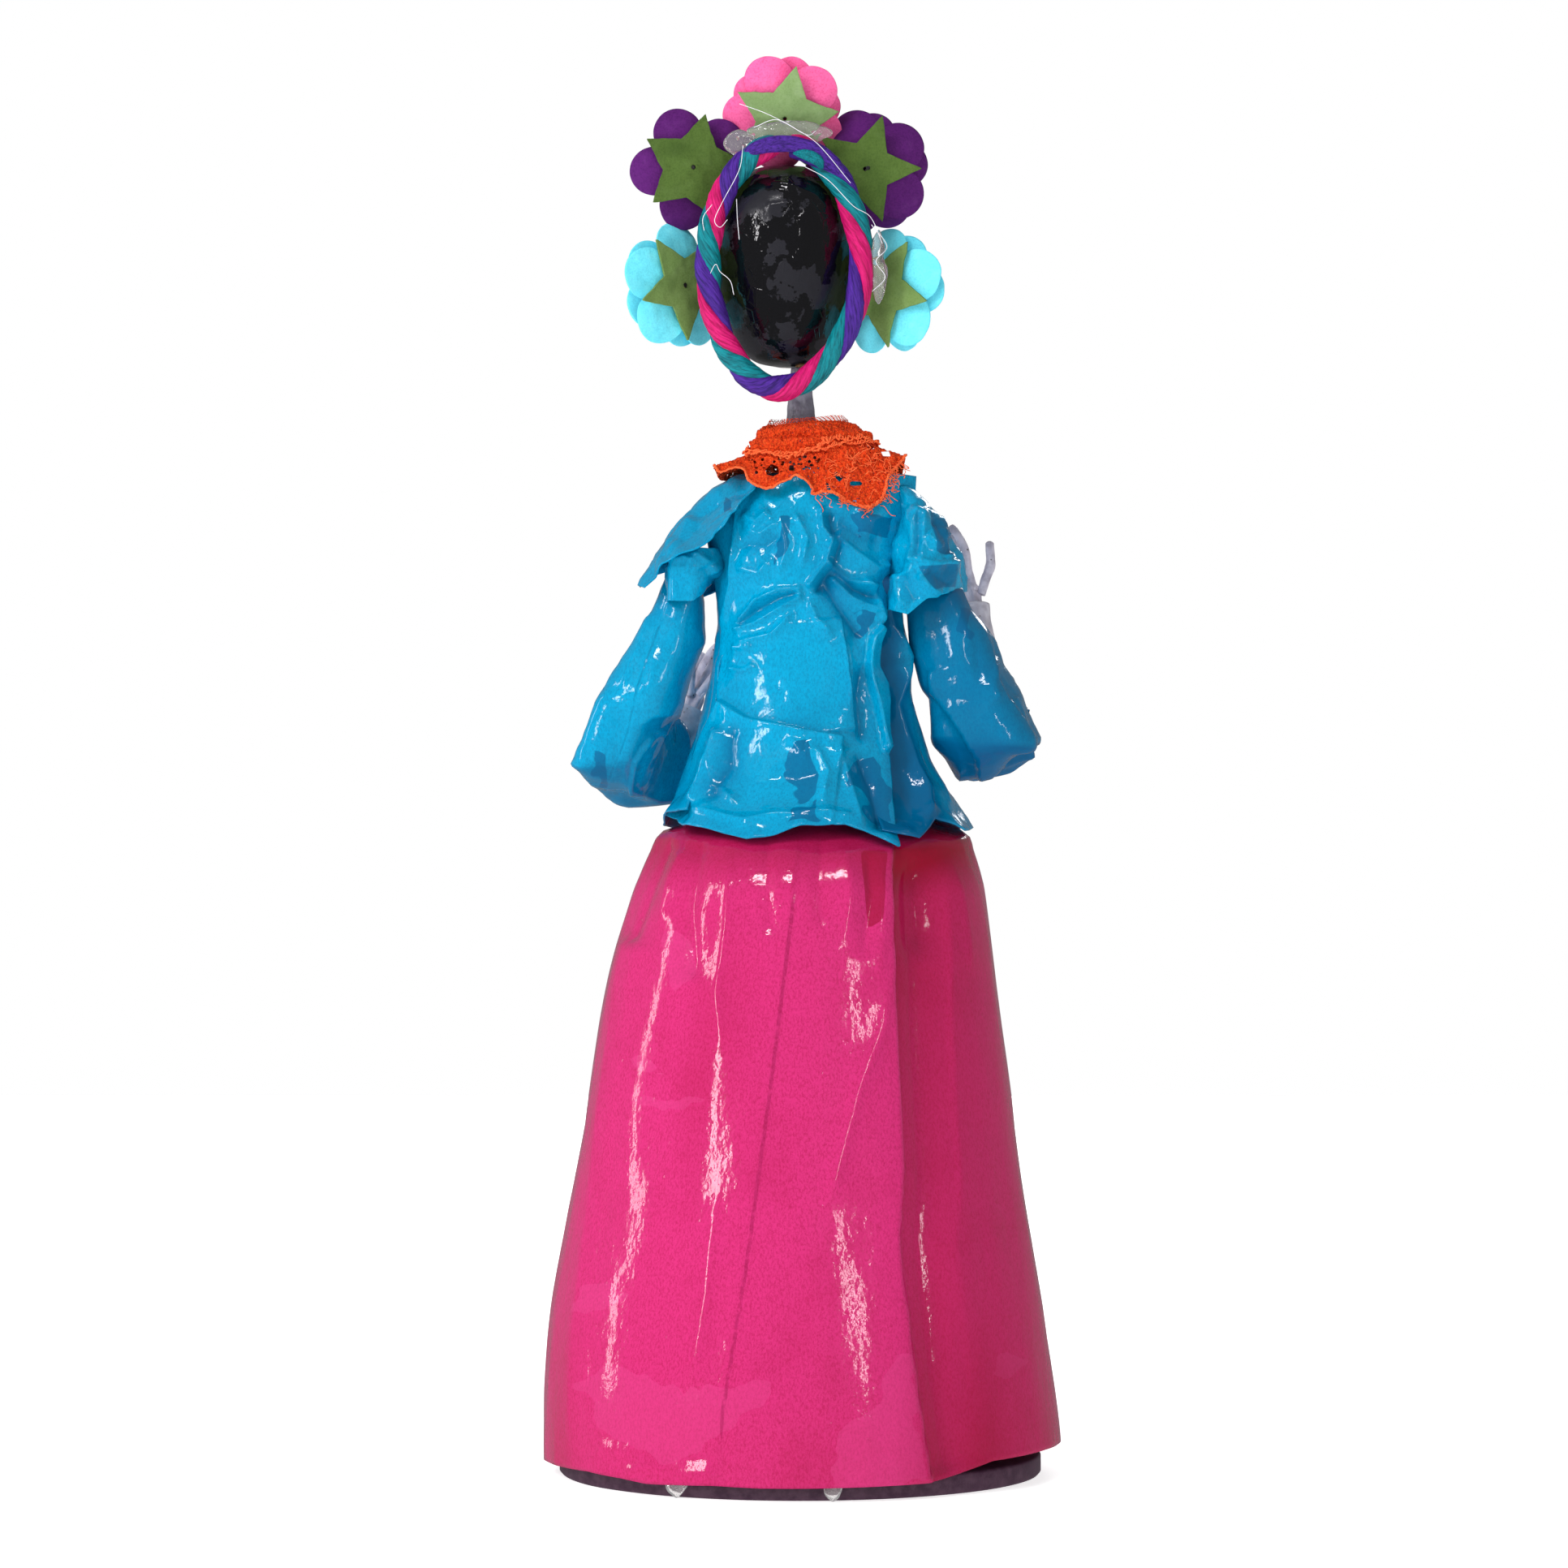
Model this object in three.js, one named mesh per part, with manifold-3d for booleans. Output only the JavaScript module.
// A papier-mache catrina: a standing skeleton lady, about 313 mm tall, made of varnished paper on a dowel and wire.
// Millimetres, +Z up, +Y the way she faces, +X her right hand. The origin is the middle of the base's underside.
//
// A round base disc carries an upright dowel. A paper torso core sits on the dowel, with a wire axle through both
// shoulders for the arms, and the dowel ends in a neck wire on which the skull turns. The skirt is a paper cone held
// to the base by beads of hot glue. The blouse is a back and a front panel over the core. Each arm is a bent paper
// sleeve on a wire, with a white wrist tube and a wire hand that turns in it. A braid of three cords rings the head,
// and five paper flowers stand around it.
import * as THREE from "three";
import { mergeVertices } from "three/addons/utils/BufferGeometryUtils.js";
import Module from "manifold-3d";

const wasm = await Module();
wasm.setup();

// ---- driving dimensions ----
const GAP = 0.4; // left between pieces that touch on the real figure
const PAPER = 0.8; // a blouse or sleeve wall: paper, paste and varnish
const BASE = { radius: 53.3, height: 4.5, socketFloor: 1.2 };
const DOWEL = { radius: 2.7, top: 224 };
const NECK_WIRE = { radius: 1.1, top: 262 };
const SHOULDER_HEIGHT = 208;
const AXLE = { radius: 0.9, halfLength: 25.6 };
const ARM_START_X = 22.4; // the sleeves are cut flat here, so that they can swing beside the blouse
const HEAD_CENTRE_X = -3.4; // the skull leans a little to her left
const BRAID = { centre: [-2.6, 266.5], half: [17.2, 26.2], depth: -10.4, cord: 1.2, lay: 1.7, turns: 5 };
const FLOWER = { petalRadius: 13.3, innerRadius: 10.2, calyxRadius: 10.4, holeRadius: 0.9, sheet: 0.5 };

// ---- colours and finishes ----
const finish = (color, roughness) => new THREE.MeshStandardMaterial({ color, roughness, metalness: 0 });
const LOOK = {
  base: finish(0x3c2638, 0.6),
  wood: finish(0xb98d5a, 0.7),
  news: finish(0xb9b2a3, 0.9),
  pink: finish(0xe33c88, 0.15),
  blue: finish(0x10a9d8, 0.15),
  wire: finish(0x55555a, 0.4),
  bone: finish(0xd8d6e0, 0.35),
  black: finish(0x0b0b0d, 0.1),
  lace: finish(0xe8541c, 0.85),
  glue: finish(0xe6e2dc, 0.2),
  cordPink: finish(0xd8117a, 0.7),
  cordTeal: finish(0x128f96, 0.7),
  cordPurple: finish(0x4a23a0, 0.7),
  green: finish(0x6b8f3c, 0.95),
  petalPink: finish(0xf96ab4, 0.9),
  petalPurple: finish(0x6d2f8c, 0.9),
  petalBlue: finish(0x67d8f0, 0.9),
};

const figure = new THREE.Group();

// Adds a named piece to the figure, or to a group that is turned or moved.
function piece(name, geometry, material, parent = figure) {
  const mesh = new THREE.Mesh(geometry, material);
  mesh.name = name;
  parent.add(mesh);
  return mesh;
}

// ---- shapes through stations ----
// A station is a function (angle, inset) that gives a point of a ring; a lathe's rings are moved on to them.
const OUTER = 1;
const INNER = 0.5;

function moveRings(profile, sides, stations, wall) {
  const geometry = new THREE.LatheGeometry(profile, sides);
  const at = geometry.getAttribute("position");
  const p = new THREE.Vector3();
  for (let i = 0; i < at.count; i += 1) {
    p.fromBufferAttribute(at, i);
    const ring = Math.round(p.y);
    const reach = Math.hypot(p.x, p.z);
    const angle = Math.atan2(p.x, p.z);
    const station = stations[ring];
    if (reach < INNER / 2) {
      p.addVectors(station(0, 0), station(Math.PI, 0)).multiplyScalar(0.5);
    } else {
      p.copy(station(angle, reach < (INNER + OUTER) / 2 ? wall : 0));
    }
    at.setXYZ(i, p.x, p.y, p.z);
  }
  return facingOut(geometry);
}

// Turns a closed body's faces round if they point inwards.
function facingOut(geometry) {
  const bare = onlyPositions(geometry);
  const at = bare.getAttribute("position");
  const corner = [new THREE.Vector3(), new THREE.Vector3(), new THREE.Vector3()];
  let volume = 0;
  for (let i = 0; i < bare.index.count; i += 3) {
    corner.forEach((c, k) => c.fromBufferAttribute(at, bare.index.getX(i + k)));
    volume += corner[0].dot(corner[1].clone().cross(corner[2]));
  }
  if (volume < 0) {
    for (let i = 0; i < bare.index.count; i += 3) {
      const second = bare.index.getX(i + 1);
      bare.index.setX(i + 1, bare.index.getX(i + 2));
      bare.index.setX(i + 2, second);
    }
  }
  return bare;
}

// The geometry as merged positions and nothing else, without triangles that have no area.
function onlyPositions(geometry) {
  const bare = geometry.clone();
  Object.keys(bare.attributes).forEach((name) => name !== "position" && bare.deleteAttribute(name));
  const merged = mergeVertices(bare, 1e-3);
  const kept = [];
  for (let i = 0; i < merged.index.count; i += 3) {
    const [a, b, c] = [0, 1, 2].map((k) => merged.index.getX(i + k));
    if (a !== b && b !== c && c !== a) kept.push(a, b, c);
  }
  merged.setIndex(kept);
  return merged;
}

// A solid whose skin runs through the stations.
function solidThrough(stations, sides) {
  const profile = stations.map((_, i) => new THREE.Vector2(OUTER, i));
  profile.unshift(new THREE.Vector2(0, 0));
  profile.push(new THREE.Vector2(0, stations.length - 1));
  return moveRings(profile, sides, stations, 0);
}

// An open tube whose outer face runs through the stations.
function wallThrough(stations, wall, sides) {
  const last = stations.length - 1;
  const out = stations.map((_, i) => new THREE.Vector2(OUTER, i));
  const back = stations.map((_, i) => new THREE.Vector2(INNER, last - i));
  return moveRings([...out, ...back, out[0].clone()], sides, stations, wall);
}

// A level oval ring: [height, half-width, half-depth, centre x, centre y].
const oval =
  ([z, a, b, x = 0, y = 0], grow = 0) =>
  (angle, inset) =>
    new THREE.Vector3(
      x + (a + grow - inset) * Math.sin(angle),
      y - (b + grow - inset) * Math.cos(angle),
      z,
    );

// Round rings along a curve, with one radius for each ring.
function alongCurve(curve, radii, flatten = 1) {
  const frames = curve.computeFrenetFrames(radii.length - 1, false);
  return radii.map((radius, i) => {
    const centre = curve.getPointAt(i / (radii.length - 1));
    return (angle, inset) =>
      centre
        .clone()
        .addScaledVector(frames.normals[i], (radius - inset) * Math.sin(angle))
        .addScaledVector(frames.binormals[i], (radius * flatten - inset) * Math.cos(angle));
  });
}

const curveThrough = (...points) => new THREE.CatmullRomCurve3(points.map((p) => new THREE.Vector3(...p)));

// ---- cutting ----
function toSolid(geometry) {
  const bare = onlyPositions(geometry);
  return new wasm.Manifold(
    new wasm.Mesh({
      numProp: 3,
      vertProperties: new Float32Array(bare.getAttribute("position").array),
      triVerts: new Uint32Array(bare.index.array),
    }),
  );
}

function toGeometry(solid) {
  const mesh = solid.getMesh();
  const corners = new Float32Array(mesh.numVert * 3);
  for (let i = 0; i < mesh.numVert; i += 1) {
    corners.set(mesh.vertProperties.subarray(i * mesh.numProp, i * mesh.numProp + 3), i * 3);
  }
  return new THREE.BufferGeometry()
    .setAttribute("position", new THREE.BufferAttribute(corners, 3))
    .setIndex(new THREE.BufferAttribute(mesh.triVerts, 1));
}

const cut = (geometry, ...tools) =>
  toGeometry(tools.reduce((solid, tool) => solid.subtract(toSolid(tool)), toSolid(geometry)));
const join = (first, ...others) =>
  toGeometry(others.reduce((solid, other) => solid.add(toSolid(other)), toSolid(first)));

// A round rod or hole from one point to another.
function rod(from, to, radius, sides = 12) {
  const start = new THREE.Vector3(...from);
  const run = new THREE.Vector3(...to).sub(start);
  const turn = new THREE.Quaternion().setFromUnitVectors(new THREE.Vector3(0, 1, 0), run.clone().normalize());
  const middle = start.addScaledVector(run, 0.5);
  return new THREE.CylinderGeometry(radius, radius, run.length(), sides)
    .applyMatrix4(new THREE.Matrix4().compose(middle, turn, new THREE.Vector3(1, 1, 1)));
}

function block(low, high) {
  const size = high.map((h, k) => h - low[k]);
  return new THREE.BoxGeometry(...size).translate(...high.map((h, k) => (h + low[k]) / 2));
}

// ---- base, dowel and skirt ----
function baseDisc() {
  const { radius, height, socketFloor } = BASE;
  const socket = DOWEL.radius + GAP;
  const profile = [[0, 0], [radius, 0], [radius, height], [socket, height], [socket, socketFloor], [0, socketFloor]];
  const disc = new THREE.LatheGeometry(profile.map((p) => new THREE.Vector2(...p)), 40);
  return facingOut(disc.rotateX(Math.PI / 2));
}

const axleHole = rod([-30, 0, SHOULDER_HEIGHT], [30, 0, SHOULDER_HEIGHT], AXLE.radius + GAP);

// The dowel stands in the base's socket; the thinner neck wire is set in its top.
function spine() {
  const dowel = rod([0, 0, BASE.socketFloor + GAP], [0, 0, DOWEL.top], DOWEL.radius, 14);
  const wire = rod([0, 0, DOWEL.top - 6], [0, 0, NECK_WIRE.top], NECK_WIRE.radius, 10);
  return cut(join(dowel, wire), axleHole);
}

// Skirt rings: height, half-width, half-depth, centre x. The cone narrows quickly where it is gathered at the waist.
const SKIRT_RINGS = [
  [2.6, 57.2, 57.2], [22, 56.5, 56.5], [60, 50.8, 50.4], [100, 44.8, 43.6], [122, 41, 39, 0.4],
  [132, 37.8, 34.6, 1], [136, 35.6, 30.6, 1.8], [138.4, 31.4, 25, 2.4], [150, 24.4, 17.4, 2],
];
const SKIRT_WALL = 1;
const SKIRT_FOLDS = 9;
const SKIRT_SIDES = 4 * SKIRT_FOLDS;

// Soft folds run down the cone from the gathered waist and fade towards the hem.
function skirt() {
  const stations = SKIRT_RINGS.map((ring) => {
    const plain = oval(ring);
    const depth = 0.9 * THREE.MathUtils.smoothstep(ring[0], 40, 125);
    return (angle, inset) => plain(angle, inset + depth * (0.5 + 0.5 * Math.cos(SKIRT_FOLDS * angle)));
  });
  return wallThrough(stations, SKIRT_WALL, SKIRT_SIDES);
}

// A bead of hot glue between the base's rim and the hem, at an angle round from the back.
function hemBead(name, degrees) {
  const angle = THREE.MathUtils.degToRad(degrees);
  const bead = new THREE.SphereGeometry(1, 8, 5).scale(3.2, 1.05, 1.2);
  const mesh = piece(name, facingOut(bead), LOOK.glue);
  const ring = BASE.radius + 1.6;
  mesh.position.set(ring * Math.sin(angle), -ring * Math.cos(angle), 1.7);
  mesh.rotation.z = angle;
}

// ---- torso and blouse ----
const CORE_RINGS = [
  [139, 15, 9.5, 1.5], [150, 17, 10.2, 1], [170, 16.4, 9.8], [195, 17, 10], [208, 17.4, 9.8], [214, 13, 8],
];

const BLOUSE_RINGS = [
  [138.6, 33.8, 27.6, 2.4], [146, 30.9, 24.3, 2.3], [154, 26.8, 19.8, 1.6], [164, 23, 16, 0.9], [176, 21, 13.7, 0.5],
  [190, 20.3, 12.8, 0.5], [203, 20.9, 13, 0.5], [211.5, 20.7, 12, 0.3], [217, 16.4, 9.8], [221.5, 9.4, 7],
];
const BLOUSE_SIDES = 28;

function blousePanel(isBack) {
  const whole = wallThrough(BLOUSE_RINGS.map((ring) => oval(ring)), PAPER, BLOUSE_SIDES);
  const otherHalf = isBack ? block([-60, -GAP / 2, 100], [60, 60, 260]) : block([-60, -60, 100], [60, GAP / 2, 260]);
  return cut(whole, otherHalf, axleHole);
}

// The blouse's outside made larger on every side, to cut what lies against it.
const blouseRoom = (grow) =>
  solidThrough(BLOUSE_RINGS.map((ring) => oval(ring, grow)), BLOUSE_SIDES);

// ---- arms ----
// Her left arm folds in front of her waist; her right forearm is raised.
const ARMS = {
  left: {
    side: -1,
    path: curveThrough(
      [-22.5, 0, 210], [-28, 0, 193], [-32.4, 0, 178], [-36.6, 1, 166], [-38.6, 6.5, 159], [-36, 13.5, 155.4],
      [-31.5, 18.6, 155.4], [-28, 21, 158.6],
    ),
    radii: [5.4, 6.4, 7.4, 8.4, 9.5, 10.2, 9.4, 8.2, 7],
    wrist: [[-29.4, 20.2, 156.6], [-24.6, 23.6, 169]],
    spin: 0.6,
  },
  right: {
    side: 1,
    path: curveThrough(
      [23.5, 0, 210], [28.4, 0, 196], [33, -0.6, 183], [37.8, -0.4, 170], [40.6, 4.5, 162], [41.8, 12.5, 161.6],
      [41.8, 19.5, 167.6], [41, 24, 175.6],
    ),
    radii: [5.6, 6.9, 8.2, 9.4, 10.3, 10.3, 9, 7.8, 6.9],
    wrist: [[41.2, 23, 173.6], [39.4, 29.4, 192.6]],
    spin: 0,
  },
};
const SLEEVE_SIDES = 12;
const WRIST_TUBE = { radius: 3.9, wall: 0.7 };
const EYE = { radius: 2, wire: 0.7 };

// Keeps what is outside the blouse, as far as the flat plane where an arm begins.
function beyondShoulder(side) {
  return side < 0
    ? block([-ARM_START_X, -40, 150], [60, 40, 260])
    : block([-60, -40, 150], [ARM_START_X, 40, 260]);
}

function sleeve(arm) {
  const tube = wallThrough(alongCurve(arm.path, arm.radii), PAPER, SLEEVE_SIDES);
  const shoulderOnly = block([-60, -14, 186], [60, 14, 260]);
  const inside = toSolid(beyondShoulder(arm.side)).intersect(toSolid(shoulderOnly));
  return toGeometry(toSolid(tube).subtract(inside));
}

// The arm's wire: an eye that turns on the shoulder axle, then a run down the middle of the sleeve.
function armWire(arm) {
  const eye = new THREE.TorusGeometry(EYE.radius, EYE.wire, 6, 12).rotateY(Math.PI / 2);
  const eyeX = arm.side * (AXLE.halfLength - 1.2);
  eye.translate(eyeX, 0, SHOULDER_HEIGHT);
  const along = arm.path.getSpacedPoints(9).slice(2);
  const [wristStart] = arm.wrist;
  const points = [new THREE.Vector3(eyeX, 0, SHOULDER_HEIGHT - EYE.radius), ...along.slice(0, -1)];
  points.push(new THREE.Vector3(...wristStart));
  const run = new THREE.CatmullRomCurve3(points);
  return join(eye, solidThrough(alongCurve(run, Array(14).fill(EYE.wire)), 6));
}

// A paper tube painted white, half inside the sleeve's mouth; the hand's wires turn in it.
function wristTube(arm) {
  const [from, to] = arm.wrist.map((p) => new THREE.Vector3(...p));
  const line = new THREE.LineCurve3(from.clone().lerp(to, 0.12), to);
  const { radius, wall } = WRIST_TUBE;
  return wallThrough(alongCurve(line, [radius, radius * 0.97]), wall, 14);
}

// Finger name, start on the palm, bulge and tip, all from the wrist tube's mouth with +Z along the tube.
const FINGERS = [
  ["thumb", [2.5, -0.4, 4.6], [4.4, -0.8, 9], [5, -0.6, 15.4]],
  ["index_finger", [-0.4, -2.6, 7.4], [-0.6, -3.2, 12.4], [-2.6, -3.4, 18.4]],
  ["middle_finger", [-0.5, 0.3, 7.9], [-1, 0.4, 13.4], [-3, 0.6, 19.4]],
  ["ring_finger", [-0.4, 3.2, 7.5], [-0.9, 3.7, 12.6], [-2.7, 4.3, 18.2]],
  ["little_finger", [-0.1, 5.7, 6.4], [-0.6, 6.8, 10.6], [-2, 8, 15.2]],
];
const FINGER_RADII = [1.2, 1.3, 1.15, 1.05, 0.7];

// The hand's stalk starts at the end of the arm's wire, inside the wrist tube, and widens to a flat palm.
function palm(depth) {
  const rings = [[-depth, 1.7, 1.7, 0], [1.2, 1.7, 1.9, 0], [3, 1.7, 2.8, 0.6], [4.6, 1.2, 3.9, 1], [5.6, 1, 4.3, 1.2]];
  const stations = rings.map(([z, a, b, y]) => (angle) =>
    new THREE.Vector3(a * Math.sin(angle), y + b * Math.cos(angle), z));
  return solidThrough(stations, 10);
}

function hand(name, arm) {
  const [from, to] = arm.wrist.map((p) => new THREE.Vector3(...p));
  const group = new THREE.Group();
  const aim = new THREE.Quaternion().setFromUnitVectors(new THREE.Vector3(0, 0, 1), to.clone().sub(from).normalize());
  const twist = new THREE.Quaternion().setFromAxisAngle(new THREE.Vector3(0, 0, 1), arm.spin);
  group.position.copy(to);
  group.quaternion.copy(aim.multiply(twist));
  figure.add(group);
  piece(`${name}_palm`, palm(from.distanceTo(to) - EYE.wire - GAP), LOOK.bone, group);
  FINGERS.forEach(([finger, ...points]) => {
    const mirrored = points.map(([x, y, z]) => [arm.side * x, y, z]);
    const shape = solidThrough(alongCurve(curveThrough(...mirrored), FINGER_RADII), 6);
    piece(`${name}_${finger}`, shape, LOOK.bone, group);
  });
}

// A loose paper cap over the top of a sleeve, glued to the blouse, with room for the sleeve to swing under it.
function sleeveCap(side) {
  const line = curveThrough([side * 22, 0, 211.5], [side * 25.6, 0, 205], [side * 28.8, 0, 195.6]);
  const rings = alongCurve(line, [8, 10.4, 11.4, 11.6]);
  const belowShoulder = block([-60, -40, 150], [60, 40, 192]);
  const towardsNeck = side < 0 ? block([-20.5, -40, 150], [60, 40, 260]) : block([-60, -40, 150], [20.5, 40, 260]);
  return cut(wallThrough(rings, PAPER, 16), blouseRoom(GAP), belowShoulder, towardsNeck);
}

// ---- neck, collar and head ----
const NECK_RINGS = [[224.6, 3.6, 3.6], [232, 3.2, 3.2], [238, 2.7, 2.7], [244.4, 2.3, 2.3]];
const COLLAR_RINGS = [[234.2, 5.6, 5.4, 0.6], [228.6, 8.6, 7.8, 0.8], [221.6, 20.8, 15.6, 1.6]];
const COLLAR_RUFFLES = 9;
const COLLAR_SIDES = 4 * COLLAR_RUFFLES;

// A gathered lace collar: a thin cone with a ruffled edge.
function laceCollar() {
  const last = COLLAR_RINGS.length - 1;
  const stations = COLLAR_RINGS.map((ring, i) => {
    const plain = oval(ring);
    const ripple = 0.7 * (i / last) ** 2;
    return (angle, inset) => plain(angle, inset).setZ(ring[0] + ripple * Math.cos(COLLAR_RUFFLES * angle));
  });
  return wallThrough(stations, 0.9, COLLAR_SIDES);
}

// Skull rings: height, half-width, half-depth, centre x, centre y. The crown is round and the jaw narrow.
const SKULL_RINGS = [
  [245, 4.6, 4.8, HEAD_CENTRE_X + 1, 2.6], [246.6, 8, 8.6, HEAD_CENTRE_X + 0.6, 2.8], [251, 10.8, 12, HEAD_CENTRE_X, 3],
  [258, 12.9, 14.4, HEAD_CENTRE_X, 2.6], [266, 14.9, 16.2, HEAD_CENTRE_X, 2], [274, 15.6, 16.8, HEAD_CENTRE_X, 1.6],
  [281, 14.2, 15.2, HEAD_CENTRE_X, 1.4], [286, 10.6, 11.4, HEAD_CENTRE_X, 1.4], [288.8, 5, 5.4, HEAD_CENTRE_X, 1.4],
];

const skullBody = (grow) => solidThrough(SKULL_RINGS.map((ring) => oval(ring, grow)), 20);

function skull() {
  return cut(skullBody(0), rod([0, 0, 240], [0, 0, NECK_WIRE.top + 1], NECK_WIRE.radius + GAP, 12));
}

// The braid's own line: an egg-shaped ring behind the head, narrower towards the nape.
function braidLine(turn) {
  const [cx, cz] = BRAID.centre;
  const [halfWidth, halfHeight] = BRAID.half;
  const low = Math.max(0, -Math.sin(turn));
  return new THREE.Vector3(
    cx + halfWidth * Math.cos(turn) * (1 - 0.1 * low),
    BRAID.depth + 1.6 * low,
    cz + halfHeight * Math.sin(turn),
  );
}

// One of the braid's three cords, which wind round the braid's line as the strands of a rope do.
function braidCord(phase) {
  const steps = 60;
  const geometry = new THREE.TorusGeometry(1, 0.25, 6, steps);
  const uv = geometry.getAttribute("uv");
  const at = geometry.getAttribute("position");
  const depthways = new THREE.Vector3(0, 1, 0);
  const centre = (turn) => {
    const ahead = braidLine(turn + 0.01).sub(braidLine(turn - 0.01)).normalize();
    const across = new THREE.Vector3().crossVectors(ahead, depthways).normalize();
    const wave = BRAID.turns * turn + phase;
    return braidLine(turn)
      .addScaledVector(across, BRAID.lay * Math.sin(wave))
      .addScaledVector(depthways, BRAID.lay * Math.cos(wave));
  };
  for (let i = 0; i < at.count; i += 1) {
    const turn = uv.getX(i) * 2 * Math.PI;
    const round = uv.getY(i) * 2 * Math.PI;
    const ahead = centre(turn + 0.01).sub(centre(turn - 0.01)).normalize();
    const across = new THREE.Vector3().crossVectors(ahead, depthways).normalize();
    const up = new THREE.Vector3().crossVectors(across, ahead);
    const p = centre(turn)
      .addScaledVector(across, BRAID.cord * Math.cos(round))
      .addScaledVector(up, BRAID.cord * Math.sin(round));
    at.setXYZ(i, p.x, p.y, p.z);
  }
  return facingOut(geometry);
}

// ---- flowers ----
// Name, place of the calyx, the way the flower faces, turn about that direction, petal colour.
const FLOWERS = [
  ["top_flower", [-3.6, -3.2, 300.6], [0, 1, 0.55], 0, LOOK.petalPink],
  ["upper_left_flower", [-24, -3.4, 288.6], [-0.12, 1, 0.05], 0.25, LOOK.petalPurple],
  ["upper_right_flower", [15.2, -3.4, 288.4], [0.14, 1, 0.02], -0.2, LOOK.petalPurple],
  ["lower_left_flower", [-26.5, -3, 262.5], [-0.75, 1, -0.06], 0.55, LOOK.petalBlue],
  ["lower_right_flower", [19.0, -3, 261.2], [0.75, 1, -0.05], -0.5, LOOK.petalBlue],
];

function punched(shape) {
  shape.holes.push(new THREE.Path().absarc(0, 0, FLOWER.holeRadius, 0, 2 * Math.PI, true));
  return shape;
}

// Five round lobes: each arc ends where it meets its neighbour's.
function petalOutline(radius) {
  const lobe = 0.45 * radius;
  const reach = radius - lobe;
  const step = (2 * Math.PI) / 5;
  const meet = reach * Math.cos(step / 2) + Math.sqrt(lobe ** 2 - (reach * Math.sin(step / 2)) ** 2);
  const half = Math.atan2(meet * Math.sin(step / 2), meet * Math.cos(step / 2) - reach);
  const shape = new THREE.Shape();
  for (let k = 0; k < 5; k += 1) {
    const middle = k * step;
    shape.absarc(reach * Math.cos(middle), reach * Math.sin(middle), lobe, middle - half, middle + half, false);
  }
  return punched(shape);
}

function starOutline(radius) {
  const shape = new THREE.Shape();
  for (let k = 0; k < 10; k += 1) {
    const reach = k % 2 ? 0.5 * radius : radius;
    const angle = (k * Math.PI) / 5;
    shape[k ? "lineTo" : "moveTo"](reach * Math.cos(angle), reach * Math.sin(angle));
  }
  return punched(shape);
}

// A sheet cut to an outline and cupped forwards by its distance from the middle.
function paperSheet(outline, start, cup, segments) {
  const sheet = new THREE.ExtrudeGeometry(outline, {
    depth: FLOWER.sheet, bevelEnabled: false, curveSegments: segments,
  });
  const at = sheet.getAttribute("position");
  for (let i = 0; i < at.count; i += 1) {
    at.setZ(i, at.getZ(i) + start + cup * (at.getX(i) ** 2 + at.getY(i) ** 2));
  }
  return facingOut(sheet);
}

// The black wire that ties a flower's layers together, with a bead of stamens at the front.
function stamen() {
  const wire = rod([0, 0, -1.9], [0, 0, 5.4], 0.5, 6);
  const bead = new THREE.SphereGeometry(1.7, 8, 5).scale(1, 1, 0.7).translate(0, 0, 5.6);
  return join(wire, bead);
}

// Cuts a flower's part, which stands in its group, where it would enter the head.
function clearOfHead(geometry, group) {
  const room = skullBody(GAP).applyMatrix4(group.matrixWorld.clone().invert());
  return cut(geometry, room);
}

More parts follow.
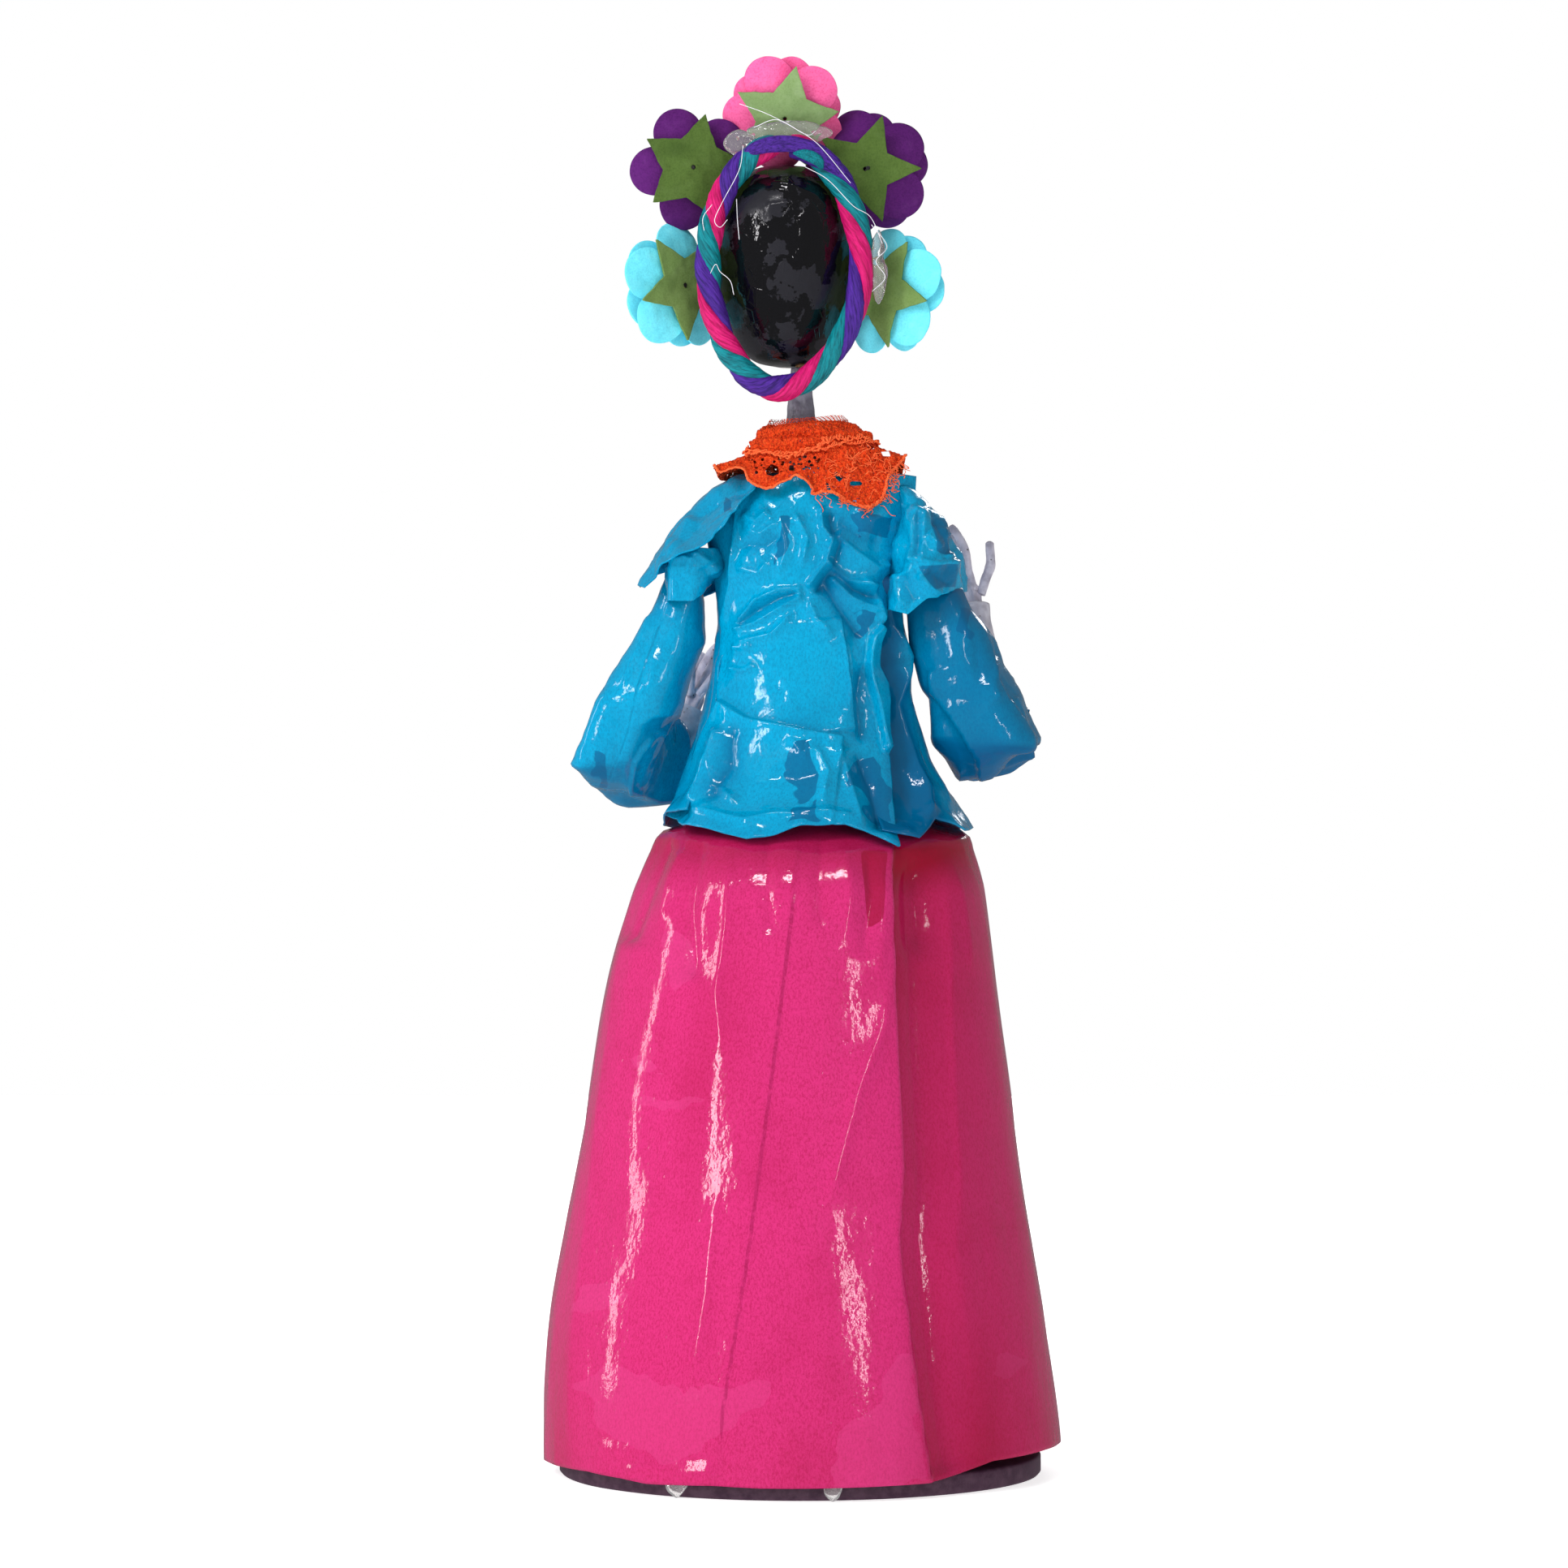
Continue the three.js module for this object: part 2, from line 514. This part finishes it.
function flower(name, place, facing, turn, petals) {
  const group = new THREE.Group();
  const aim = new THREE.Quaternion().setFromUnitVectors(
    new THREE.Vector3(0, 0, 1),
    new THREE.Vector3(...facing).normalize(),
  );
  const twist = new THREE.Quaternion().setFromAxisAngle(new THREE.Vector3(0, 0, 1), turn);
  group.position.set(...place);
  group.quaternion.copy(aim.multiply(twist));
  figure.add(group);
  group.updateMatrixWorld(true);
  const { calyxRadius, petalRadius, innerRadius } = FLOWER;
  const layers = [
    ["calyx", paperSheet(starOutline(calyxRadius), -0.9, 0, 3), LOOK.green],
    ["petals", paperSheet(petalOutline(petalRadius), 0, 0.012, 3), petals],
    ["inner_petals", paperSheet(petalOutline(innerRadius), 3.1, 0.014, 2), petals],
  ];
  layers.forEach(([layer, sheet, look]) => piece(`${name}_${layer}`, clearOfHead(sheet, group), look, group));
  piece(`${name}_stamen`, stamen(), LOOK.wire, group);
}

// A lump of hot glue that holds the flowers to the braid.
function crownGlue(name, place, size) {
  piece(name, facingOut(new THREE.SphereGeometry(1, 8, 6).scale(...size).translate(...place)), LOOK.glue);
}

// ---- assembly ----
piece("base_disc", baseDisc(), LOOK.base);
piece("spine_dowel", spine(), LOOK.wood);
piece("skirt", skirt(), LOOK.pink);
hemBead("hem_glue_back_left", -32);
hemBead("hem_glue_back_right", 7);
hemBead("hem_glue_front", 178);

const dowelHole = rod([0, 0, 130], [0, 0, 230], DOWEL.radius + GAP, 14);
piece("torso_core", cut(solidThrough(CORE_RINGS.map((ring) => oval(ring)), 16), dowelHole, axleHole), LOOK.news);
piece(
  "shoulder_axle",
  rod([-AXLE.halfLength, 0, SHOULDER_HEIGHT], [AXLE.halfLength, 0, SHOULDER_HEIGHT], AXLE.radius, 10),
  LOOK.wire,
);
piece("blouse_back", blousePanel(true), LOOK.blue);
piece("blouse_front", blousePanel(false), LOOK.blue);

Object.entries(ARMS).forEach(([name, arm]) => {
  piece(`${name}_sleeve`, sleeve(arm), LOOK.blue);
  piece(`${name}_sleeve_cap`, sleeveCap(arm.side), LOOK.blue);
  piece(`${name}_arm_wire`, armWire(arm), LOOK.wire);
  piece(`${name}_wrist_tube`, wristTube(arm), LOOK.bone);
  hand(name, arm);
});

const neckTube = wallThrough(NECK_RINGS.map((ring) => oval(ring)), 0.7, 12);
piece("neck", neckTube, LOOK.bone);
piece("lace_collar", laceCollar(), LOOK.lace);
piece("skull", skull(), LOOK.black);
piece("braid_pink", braidCord(2.9), LOOK.cordPink);
piece("braid_teal", braidCord(2.9 - (2 * Math.PI) / 3), LOOK.cordTeal);
piece("braid_purple", braidCord(2.9 + (2 * Math.PI) / 3), LOOK.cordPurple);
FLOWERS.forEach((entry) => flower(...entry));
crownGlue("crown_glue_left", [-13.2, -7, 296.8], [2.6, 1.6, 1.6]);
crownGlue("crown_glue_right", [20.6, -9, 272.4], [1.4, 1.4, 3.2]);

export default figure;
